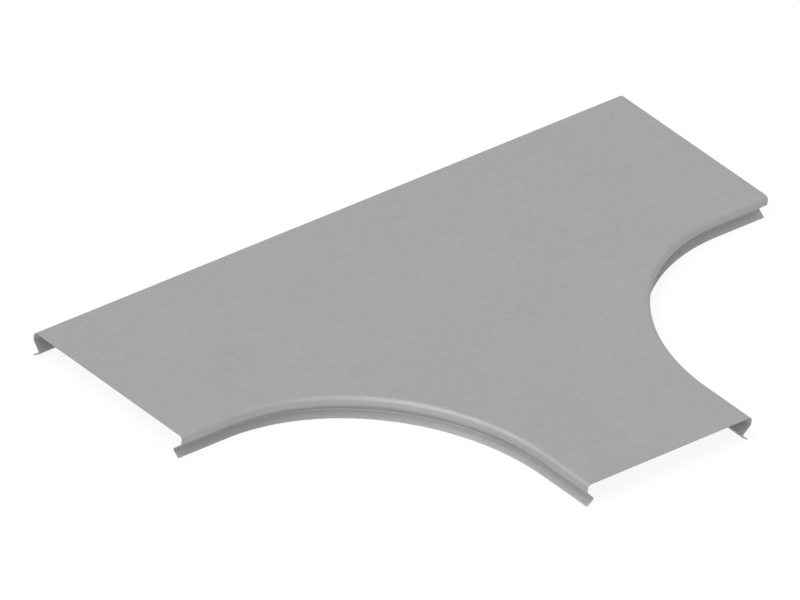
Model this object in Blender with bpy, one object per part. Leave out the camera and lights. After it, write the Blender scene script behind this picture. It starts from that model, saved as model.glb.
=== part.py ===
"""Clip-on cover for a horizontal cable tray tee: one flat sheet, folded along its three rims.

The plate is a T in plan with a quarter-round in each inner corner. Its long back edge and its two inner
corners carry the same folded rim, which hooks under the tray's side rails. The three ends are cut flush.
The right half is modelled and mirrored. Metres, +Z up. The cover lies top up on its lips: the origin is
under the middle of its box, the through run is along X, and the branch points to -Y.
"""
import math

import bmesh
import bpy
from mathutils import Vector

# Plan sizes, measured to the rims' outer faces.
RUN_WIDTH = 0.151
BRANCH_WIDTH = 0.151
CORNER_RADIUS = 0.1495
RUN_STRAIGHT = 0.044
BRANCH_STRAIGHT = 0.044

# Rim section: depths are below the cover's top, and insets are from the skirt's outer face.
SHEET = 0.0006
SKIRT_DEPTH = 0.0066
HOOK_DEPTH = 0.0138
HOOK_INSET = 0.0072
LIP_DEPTH = 0.0178
LIP_INSET = 0.0014
BEND_RADIUS = 0.0025
HOOK_RADIUS = 0.0008

# Facets in each quarter-round, bend and hook.
CORNER_STEPS = 32
BEND_STEPS = 6
HOOK_STEPS = 4
SHARP_ANGLE = math.radians(40)

# Points nearer than this are one point, or lie in one plane.
TOUCHING = 0.00001

HALF_RUN = BRANCH_WIDTH / 2 + CORNER_RADIUS + RUN_STRAIGHT
COVER_DEPTH = RUN_WIDTH + CORNER_RADIUS + BRANCH_STRAIGHT
BACK_Y = COVER_DEPTH / 2
FRONT_Y = BACK_Y - RUN_WIDTH
BRANCH_END_Y = BACK_Y - COVER_DEPTH


def inner_side(heading):
    """Direction from the outer face into the sheet, where the outer face is followed from plate to lip."""
    return Vector((heading.y, -heading.x))


def bend(corner, heading, next_heading, inside_radius, steps):
    """Points round one bend of the outer face, each with its direction into the sheet."""
    turn = heading.angle(next_heading)
    inner = inner_side(heading)
    folds_inwards = inner.dot(next_heading) > 0
    side = inner if folds_inwards else -inner
    radius = inside_radius + SHEET if folds_inwards else inside_radius
    start = corner - heading * radius * math.tan(turn / 2)
    points = []
    for step in range(steps + 1):
        angle = turn * step / steps
        place = start + (heading * math.sin(angle) + side * (1 - math.cos(angle))) * radius
        points.append((place, inner_side(heading * math.cos(angle) + side * math.sin(angle))))
    return points


def rim_section():
    """The rim's cut section as (inset, depth) points: down the outer face to the lip, then back inside."""
    skirt_top = Vector((0, 0))
    skirt_foot = Vector((0, SKIRT_DEPTH))
    hook = Vector((HOOK_INSET, HOOK_DEPTH))
    lip = Vector((LIP_INSET, LIP_DEPTH))
    outwards = Vector((-1, 0))
    down = Vector((0, 1))
    slope = (hook - skirt_foot).normalized()
    flare = (lip - hook).normalized()
    outer = bend(skirt_top, outwards, down, BEND_RADIUS, BEND_STEPS)
    outer += bend(skirt_foot, down, slope, BEND_RADIUS, BEND_STEPS)
    outer += bend(hook, slope, flare, HOOK_RADIUS, HOOK_STEPS)
    outer.append((lip, inner_side(flare)))
    outer_face = [place for place, _ in outer]
    inner_face = [place + inwards * SHEET for place, inwards in outer]
    return outer_face + inner_face[::-1]


SECTION = rim_section()
TOP = max(depth for _, depth in SECTION)


def draw_section(bm, x, skirt_y, plate_side):
    """Chain of edges across a rim that runs along X, with the plate at plate_side, 1 or -1, along Y."""
    verts = [bm.verts.new((x, skirt_y + plate_side * inset, TOP - depth)) for inset, depth in SECTION]
    return [bm.edges.new(pair) for pair in zip(verts, verts[1:])]


def chain_among(geometry):
    """The edges of an operator's result."""
    return [item for item in geometry if isinstance(item, bmesh.types.BMEdge)]


def fold_straight(bm, chain, travel):
    """Draws the section along a straight rim and returns its chain at the far end."""
    drawn = bmesh.ops.extrude_edge_only(bm, edges=chain)["geom"]
    verts = [item for item in drawn if isinstance(item, bmesh.types.BMVert)]
    bmesh.ops.translate(bm, verts=verts, vec=travel)
    return chain_among(drawn)


def fold_round(bm, chain, centre, turn):
    """Spins the section round an inner corner and returns its chain at the far end."""
    verts = {vert for edge in chain for vert in edge.verts}
    spun = bmesh.ops.spin(
        bm, geom=list(verts) + chain, cent=centre, axis=(0, 0, 1), angle=turn, steps=CORNER_STEPS
    )
    return chain_among(spun["geom_last"])


def plate_edge(chain):
    """The two ends of a section's chain, where it meets the plate: top and underside."""
    verts = [vert for edge in chain for vert in edge.verts]
    return sorted((vert for vert in verts if verts.count(vert) == 1), key=lambda vert: -vert.co.z)


def fill_outline(bm, axis, level):
    """Fills the open outline that lies in one flat plane."""
    open_edges = [edge for edge in bm.edges if edge.is_boundary or edge.is_wire]
    outline = [
        edge for edge in open_edges
        if all(abs(vert.co[axis] - level) < TOUCHING for vert in edge.verts)
    ]
    bmesh.ops.edgeloop_fill(bm, edges=outline)


def half_cover_mesh():
    """The right half of the folded sheet, open at the plane where it meets its mirror image."""
    bm = bmesh.new()
    back_start = draw_section(bm, 0, BACK_Y, -1)
    back_end = fold_straight(bm, back_start, (HALF_RUN, 0, 0))
    run_end = draw_section(bm, HALF_RUN, FRONT_Y, 1)
    corner_start = fold_straight(bm, run_end, (-RUN_STRAIGHT, 0, 0))
    corner_centre = (BRANCH_WIDTH / 2 + CORNER_RADIUS, FRONT_Y - CORNER_RADIUS, 0)
    corner_end = fold_round(bm, corner_start, corner_centre, math.pi / 2)
    branch_end = fold_straight(bm, corner_end, (0, -BRANCH_STRAIGHT, 0))

    middle_end = [bm.verts.new((0, BRANCH_END_Y, height)) for height in (TOP, TOP - SHEET)]
    bm.edges.new(middle_end)
    for start, end in (
        (plate_edge(back_end), plate_edge(run_end)),
        (plate_edge(branch_end), middle_end),
        (middle_end, plate_edge(back_start)),
    ):
        bm.edges.new((start[0], end[0]))
        bm.edges.new((start[1], end[1]))

    fill_outline(bm, 2, TOP)
    fill_outline(bm, 2, TOP - SHEET)
    fill_outline(bm, 0, HALF_RUN)
    fill_outline(bm, 1, BRANCH_END_Y)
    bmesh.ops.recalc_face_normals(bm, faces=bm.faces)

    mesh = bpy.data.meshes.new("tee_cover")
    bm.to_mesh(mesh)
    bm.free()
    mesh.shade_smooth()
    mesh.set_sharp_from_angle(angle=SHARP_ANGLE)
    return mesh


def galvanised_steel():
    """Pre-galvanised sheet steel: an even mid grey with a dull zinc sheen."""
    material = bpy.data.materials.new("galvanised_steel")
    material.use_nodes = True
    shader = material.node_tree.nodes["Principled BSDF"]
    shader.inputs["Base Color"].default_value = (0.381, 0.381, 0.392, 1)
    shader.inputs["Metallic"].default_value = 0.7
    shader.inputs["Roughness"].default_value = 0.5
    return material


for old in list(bpy.data.objects):
    bpy.data.objects.remove(old, do_unlink=True)

tee_cover = bpy.data.objects.new("tee_cover", half_cover_mesh())
tee_cover.data.materials.append(galvanised_steel())
mirror = tee_cover.modifiers.new("left half", "MIRROR")
mirror.merge_threshold = TOUCHING
bpy.context.scene.collection.objects.link(tee_cover)
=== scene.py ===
"""The looks of a clip-on cover for a cable tray tee: one folded sheet, lying top up on a white floor."""

import math

import bpy
import bmesh
from mathutils import Euler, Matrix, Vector


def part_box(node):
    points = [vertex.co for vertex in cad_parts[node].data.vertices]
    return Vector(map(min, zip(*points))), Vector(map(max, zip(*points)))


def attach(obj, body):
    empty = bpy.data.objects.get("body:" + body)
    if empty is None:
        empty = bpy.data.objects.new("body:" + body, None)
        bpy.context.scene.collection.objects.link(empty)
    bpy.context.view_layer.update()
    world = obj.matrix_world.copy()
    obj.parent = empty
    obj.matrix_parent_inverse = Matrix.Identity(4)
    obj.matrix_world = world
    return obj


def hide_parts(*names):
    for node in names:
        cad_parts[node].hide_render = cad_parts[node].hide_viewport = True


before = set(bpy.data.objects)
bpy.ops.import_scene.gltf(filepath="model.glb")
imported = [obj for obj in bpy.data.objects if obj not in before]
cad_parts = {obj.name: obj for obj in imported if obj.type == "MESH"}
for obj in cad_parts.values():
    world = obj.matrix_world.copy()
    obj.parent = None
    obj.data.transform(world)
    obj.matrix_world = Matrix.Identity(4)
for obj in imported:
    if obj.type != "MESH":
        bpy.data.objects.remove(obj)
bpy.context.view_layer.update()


# The cover is one T-shaped blank of pre-galvanised steel sheet, cut out and folded. Its long back edge and
# its two rounded inner corners get the same rim: a short skirt, a slope inwards to a hook, and a lip that
# flares out again. The rims spring over the beads of the tray's side rails, and nothing else holds it.
cover_low, cover_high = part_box("tee_cover")
SHEET_THICKNESS = 0.0006
RUN_WIDTH = 0.151
BRANCH_WIDTH = 0.151
CORNER_RADIUS = 0.1495
SKIRT_DEPTH = 0.0066
HOOK_DEPTH = 0.0138
HOOK_INSET = 0.0072
LIP_DEPTH = 0.0178
LIP_INSET = 0.0014
SKIRT_BEND = 0.0025
HOOK_BEND = 0.0008

FLAT_BESIDE_BEND = 0.004
SKIRT_BEND_STEPS = 14
HOOK_BEND_STEPS = 8
CORNER_STEPS = 112


def fold(crease, heading, next_heading, outer_radius, steps):
    """The sheet's outer face round one fold, as points of inset and depth."""
    turn = heading.angle(next_heading)
    side = Vector((heading.y, -heading.x))
    if side.dot(next_heading) < 0:
        side = -side
    start = crease - heading * outer_radius * math.tan(turn / 2)
    angles = [turn * step / steps for step in range(steps + 1)]
    return [start + (heading * math.sin(a) + side * (1 - math.cos(a))) * outer_radius for a in angles]


def rim_profile():
    """The rim's outer face in section, from a flat strip of the plate down to the lip's cut edge."""
    skirt_top = Vector((0, 0))
    skirt_foot = Vector((0, SKIRT_DEPTH))
    hook = Vector((HOOK_INSET, HOOK_DEPTH))
    lip = Vector((LIP_INSET, LIP_DEPTH))
    outwards = Vector((-1, 0))
    down = Vector((0, 1))
    slope = (hook - skirt_foot).normalized()
    flare = (lip - hook).normalized()
    top_fold = fold(skirt_top, outwards, down, SKIRT_BEND + SHEET_THICKNESS, SKIRT_BEND_STEPS)
    foot_fold = fold(skirt_foot, down, slope, SKIRT_BEND + SHEET_THICKNESS, SKIRT_BEND_STEPS)
    hook_fold = fold(hook, slope, flare, HOOK_BEND, HOOK_BEND_STEPS)
    return [top_fold[0] + Vector((FLAT_BESIDE_BEND, 0))] + top_fold + foot_fold + hook_fold + [lip]


def fold_rim(blank, stations):
    """Folds one rim along its stations, each a place on the skirt and the way out of it.

    Returns the rim's verts on the plate, where its flat strip starts.
    """
    profile = rim_profile()
    rows = []
    for place, outwards in stations:
        rows.append([
            blank.verts.new((*(place - outwards * inset), cover_high.z - depth)) for inset, depth in profile
        ])
    for row, next_row in zip(rows, rows[1:]):
        for step in range(len(profile) - 1):
            blank.faces.new((row[step], next_row[step], next_row[step + 1], row[step + 1]))
    return [row[0] for row in rows]


def back_rim():
    """Stations of the long back rim, from the cover's middle to its right end."""
    outwards = Vector((0, 1))
    return [(Vector((0, cover_high.y)), outwards), (Vector((cover_high.x, cover_high.y)), outwards)]


def corner_rim():
    """Stations of the right inner corner's rim: a straight end, a quarter-round and a straight end."""
    run_front_y = cover_high.y - RUN_WIDTH
    centre = Vector((BRANCH_WIDTH / 2 + CORNER_RADIUS, run_front_y - CORNER_RADIUS))
    stations = [(Vector((cover_high.x, run_front_y)), Vector((0, -1)))]
    for step in range(CORNER_STEPS + 1):
        angle = math.pi / 2 * step / CORNER_STEPS
        outwards = Vector((math.sin(angle), -math.cos(angle)))
        stations.append((centre - outwards * CORNER_RADIUS, outwards))
    stations.append((Vector((BRANCH_WIDTH / 2, cover_low.y)), Vector((1, 0))))
    return stations


def folded_blank():
    """The right half of the blank's outer face, folded. The other half is its mirror image."""
    blank = bmesh.new()
    outline = fold_rim(blank, back_rim()) + fold_rim(blank, corner_rim())
    outline.append(blank.verts.new((0, cover_low.y, cover_high.z)))
    blank.faces.new(outline[::-1])
    mesh = bpy.data.meshes.new("cover_sheet")
    blank.to_mesh(mesh)
    blank.free()
    mesh.shade_smooth()
    return mesh


SPANGLE = 0.0035
STREAK_LENGTH = 0.15
STREAK_WIDTH = 0.0012
STREAK_DETAIL = 3
STREAK_SHARE = 0.5
CLOUD = 0.07
CLOUD_DETAIL = 4
CLOUD_SHARE = 0.4


def zinc_pattern(nodes, links):
    """How light the zinc is from place to place, 0 to 1: spangles, streaks along the coil and clouds."""
    place = nodes.new("ShaderNodeTexCoord")
    spangles = nodes.new("ShaderNodeTexVoronoi")
    spangles.inputs["Scale"].default_value = 1 / SPANGLE
    links.new(place.outputs["Object"], spangles.inputs["Vector"])
    spangle_tone = nodes.new("ShaderNodeRGBToBW")
    links.new(spangles.outputs["Color"], spangle_tone.inputs["Color"])

    along_coil = nodes.new("ShaderNodeMapping")
    along_coil.inputs["Scale"].default_value = (1 / STREAK_LENGTH, 1 / STREAK_WIDTH, 1 / STREAK_WIDTH)
    links.new(place.outputs["Object"], along_coil.inputs["Vector"])
    streaks = nodes.new("ShaderNodeTexNoise")
    streaks.inputs["Scale"].default_value = 1
    streaks.inputs["Detail"].default_value = STREAK_DETAIL
    links.new(along_coil.outputs["Vector"], streaks.inputs["Vector"])
    clouds = nodes.new("ShaderNodeTexNoise")
    clouds.inputs["Scale"].default_value = 1 / CLOUD
    clouds.inputs["Detail"].default_value = CLOUD_DETAIL
    links.new(place.outputs["Object"], clouds.inputs["Vector"])

    grain = nodes.new("ShaderNodeMix")
    grain.inputs["Factor"].default_value = STREAK_SHARE
    links.new(spangle_tone.outputs["Val"], grain.inputs["A"])
    links.new(streaks.outputs["Fac"], grain.inputs["B"])
    pattern = nodes.new("ShaderNodeMix")
    pattern.inputs["Factor"].default_value = CLOUD_SHARE
    links.new(grain.outputs["Result"], pattern.inputs["A"])
    links.new(clouds.outputs["Fac"], pattern.inputs["B"])
    return pattern.outputs["Result"]


ZINC_DARK = (0.372, 0.372, 0.383)
ZINC_LIGHT = (0.404, 0.404, 0.414)
ZINC_METALLIC = 0.7
ZINC_DULL_ROUGHNESS = 0.69
ZINC_BRIGHT_ROUGHNESS = 0.61
PATTERN_DARK = 0.2
PATTERN_LIGHT = 0.8
COAT_RIPPLE = 0.000004


def galvanised_sheet():
    """Zinc from a continuous coating line: an even dull grey, whose grain only shows from close by."""
    material = bpy.data.materials.new("galvanised_sheet")
    material.use_nodes = True
    nodes, links = material.node_tree.nodes, material.node_tree.links
    shader = nodes["Principled BSDF"]
    shader.inputs["Metallic"].default_value = ZINC_METALLIC
    pattern = zinc_pattern(nodes, links)

    tone = nodes.new("ShaderNodeValToRGB")
    tone.color_ramp.elements[0].position = PATTERN_DARK
    tone.color_ramp.elements[0].color = (*ZINC_DARK, 1)
    tone.color_ramp.elements[1].position = PATTERN_LIGHT
    tone.color_ramp.elements[1].color = (*ZINC_LIGHT, 1)
    links.new(pattern, tone.inputs["Fac"])
    links.new(tone.outputs["Color"], shader.inputs["Base Color"])

    dullness = nodes.new("ShaderNodeMapRange")
    dullness.inputs["From Min"].default_value = PATTERN_DARK
    dullness.inputs["From Max"].default_value = PATTERN_LIGHT
    dullness.inputs["To Min"].default_value = ZINC_DULL_ROUGHNESS
    dullness.inputs["To Max"].default_value = ZINC_BRIGHT_ROUGHNESS
    links.new(pattern, dullness.inputs["Value"])
    links.new(dullness.outputs["Result"], shader.inputs["Roughness"])

    ripple = nodes.new("ShaderNodeBump")
    ripple.inputs["Strength"].default_value = 1
    ripple.inputs["Distance"].default_value = COAT_RIPPLE
    links.new(pattern, ripple.inputs["Height"])
    links.new(ripple.outputs["Normal"], shader.inputs["Normal"])
    return material


STEEL_EDGE = (0.33, 0.33, 0.335)
STEEL_EDGE_METALLIC = 0.8
STEEL_EDGE_ROUGHNESS = 0.5


def sheared_steel():
    """The blank's cut edge: bare steel, a little darker than the zinc on its faces."""
    material = bpy.data.materials.new("sheared_steel")
    material.use_nodes = True
    shader = material.node_tree.nodes["Principled BSDF"]
    shader.inputs["Base Color"].default_value = (*STEEL_EDGE, 1)
    shader.inputs["Metallic"].default_value = STEEL_EDGE_METALLIC
    shader.inputs["Roughness"].default_value = STEEL_EDGE_ROUGHNESS
    return material


cover = bpy.data.objects.new("cover_sheet", folded_blank())
bpy.context.scene.collection.objects.link(cover)
cover.data.materials.append(galvanised_sheet())
cover.data.materials.append(sheared_steel())

HALVES_MEET_WITHIN = 0.00001
SHEARED_EDGE = 0.00008
SHEARED_EDGE_STEPS = 2
SHEARED_EDGE_ANGLE = math.radians(60)

# The folded blank is the sheet's outer face, so its thickness goes inwards and its rim is the cut edge.
left_half = cover.modifiers.new("left half", "MIRROR")
left_half.merge_threshold = HALVES_MEET_WITHIN
thickness = cover.modifiers.new("sheet thickness", "SOLIDIFY")
thickness.thickness = SHEET_THICKNESS
thickness.offset = -1
thickness.use_even_offset = True
thickness.use_quality_normals = True
thickness.material_offset_rim = cover.data.materials.find("sheared_steel")
sheared_edges = cover.modifiers.new("sheared edges", "BEVEL")
sheared_edges.width = SHEARED_EDGE
sheared_edges.segments = SHEARED_EDGE_STEPS
sheared_edges.limit_method = "ANGLE"
sheared_edges.angle_limit = SHEARED_EDGE_ANGLE
sheared_edges.harden_normals = True

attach(cover, "root")
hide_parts("tee_cover")


# The floor is a plain white studio floor, wide enough to pass out of view on every side. The cover lies on
# its lips a hair above it.
FLOOR_REACH = 10.0
FLOOR_GAP = 0.0001
FLOOR_WHITE = 0.95
FLOOR_GLOW = 1.035
GLOW_SHARE = 0.85


def seen_as_background(nodes, links):
    """1 on rays that show the background, in the camera, in metal or through glass, and 0 on the others."""
    ray = nodes.new("ShaderNodeLightPath")
    camera_or_metal = nodes.new("ShaderNodeMath")
    camera_or_metal.operation = "MAXIMUM"
    links.new(ray.outputs["Is Camera Ray"], camera_or_metal.inputs[0])
    links.new(ray.outputs["Is Glossy Ray"], camera_or_metal.inputs[1])
    seen = nodes.new("ShaderNodeMath")
    seen.operation = "MAXIMUM"
    links.new(camera_or_metal.outputs["Value"], seen.inputs[0])
    links.new(ray.outputs["Is Transmission Ray"], seen.inputs[1])
    return seen.outputs["Value"]


def white_floor():
    """Matt white. Where it is seen it is mostly glow, so the shadow on it stays faint."""
    material = bpy.data.materials.new("white_floor")
    material.use_nodes = True
    nodes, links = material.node_tree.nodes, material.node_tree.links
    nodes.remove(nodes["Principled BSDF"])
    paint = nodes.new("ShaderNodeBsdfDiffuse")
    paint.inputs["Color"].default_value = (FLOOR_WHITE, FLOOR_WHITE, FLOOR_WHITE, 1)
    glow = nodes.new("ShaderNodeEmission")
    glow.inputs["Strength"].default_value = FLOOR_GLOW
    share = nodes.new("ShaderNodeMath")
    share.operation = "MULTIPLY"
    share.inputs[1].default_value = GLOW_SHARE
    mix = nodes.new("ShaderNodeMixShader")
    links.new(seen_as_background(nodes, links), share.inputs[0])
    links.new(share.outputs["Value"], mix.inputs["Fac"])
    links.new(paint.outputs["BSDF"], mix.inputs[1])
    links.new(glow.outputs["Emission"], mix.inputs[2])
    links.new(mix.outputs["Shader"], nodes["Material Output"].inputs["Surface"])
    return material


floor_mesh = bpy.data.meshes.new("studio_floor")
floor_z = cover_low.z - FLOOR_GAP
corners = [(-1, -1), (1, -1), (1, 1), (-1, 1)]
floor_mesh.from_pydata([(x * FLOOR_REACH, y * FLOOR_REACH, floor_z) for x, y in corners], [], [(0, 1, 2, 3)])
floor_mesh.materials.append(white_floor())
studio_floor = bpy.data.objects.new("studio_floor", floor_mesh)
bpy.context.scene.collection.objects.link(studio_floor)


# The light is plain and soft: an even white room, a broad lamp high on the left, and a low one from the
# front left that reaches in under the cover's edge to its lips. Each lamp has the way towards it, its
# strength and how many degrees wide it looks.
WHITE = (1, 1, 1, 1)
ROOM_LIGHT = 0.48
ROOM_SEEN = 1
LAMPS = {
    "high_left": ((-0.47, 0, 0.88), 1.12, 45),
    "low_front_left": ((-0.80, -0.46, 0.38), 1.15, 45),
}


def studio_room():
    """An even white room, white where it is seen and dimmer where it only lights."""
    world = bpy.data.worlds.new("studio_room")
    world.use_nodes = True
    nodes, links = world.node_tree.nodes, world.node_tree.links
    room = nodes["Background"]
    room.inputs["Color"].default_value = WHITE
    room.inputs["Strength"].default_value = ROOM_LIGHT
    backdrop = nodes.new("ShaderNodeBackground")
    backdrop.inputs["Color"].default_value = WHITE
    backdrop.inputs["Strength"].default_value = ROOM_SEEN
    mix = nodes.new("ShaderNodeMixShader")
    links.new(seen_as_background(nodes, links), mix.inputs["Fac"])
    links.new(room.outputs["Background"], mix.inputs[1])
    links.new(backdrop.outputs["Background"], mix.inputs[2])
    links.new(mix.outputs["Shader"], nodes["World Output"].inputs["Surface"])
    return world


bpy.context.scene.world = studio_room()
for name, (towards, strength, width) in LAMPS.items():
    lamp = bpy.data.lights.new(name, "SUN")
    lamp.energy = strength
    lamp.angle = math.radians(width)
    holder = bpy.data.objects.new(name, lamp)
    holder.rotation_euler = Vector(towards).to_track_quat("Z", "Y").to_euler()
    bpy.context.scene.collection.objects.link(holder)

bpy.context.scene.view_settings.view_transform = "Standard"


# The camera looks down on the front left of the cover through a very long lens, which keeps its edges
# nearly parallel.
CAMERA_AIM = Vector((-0.0321, 0.0649, 0.0183))
CAMERA_AZIMUTH = math.radians(-46.131)
CAMERA_ELEVATION = math.radians(33.139)
CAMERA_ROLL = math.radians(7.379)
CAMERA_DISTANCE = 19.2385
CAMERA_LENS = 1280
CAMERA_SENSOR = 36

camera = bpy.data.objects.new("camera", bpy.data.cameras.new("camera"))
camera.data.lens = CAMERA_LENS
camera.data.sensor_width = CAMERA_SENSOR
camera.data.clip_end = CAMERA_DISTANCE * 2
turn_to_aim = Euler((math.pi / 2 - CAMERA_ELEVATION, 0, CAMERA_AZIMUTH)).to_quaternion()
roll = Euler((0, 0, CAMERA_ROLL)).to_quaternion()
camera.rotation_mode = "QUATERNION"
camera.rotation_quaternion = turn_to_aim @ roll
camera.location = CAMERA_AIM + turn_to_aim @ Vector((0, 0, CAMERA_DISTANCE))
bpy.context.scene.collection.objects.link(camera)
bpy.context.scene.camera = camera
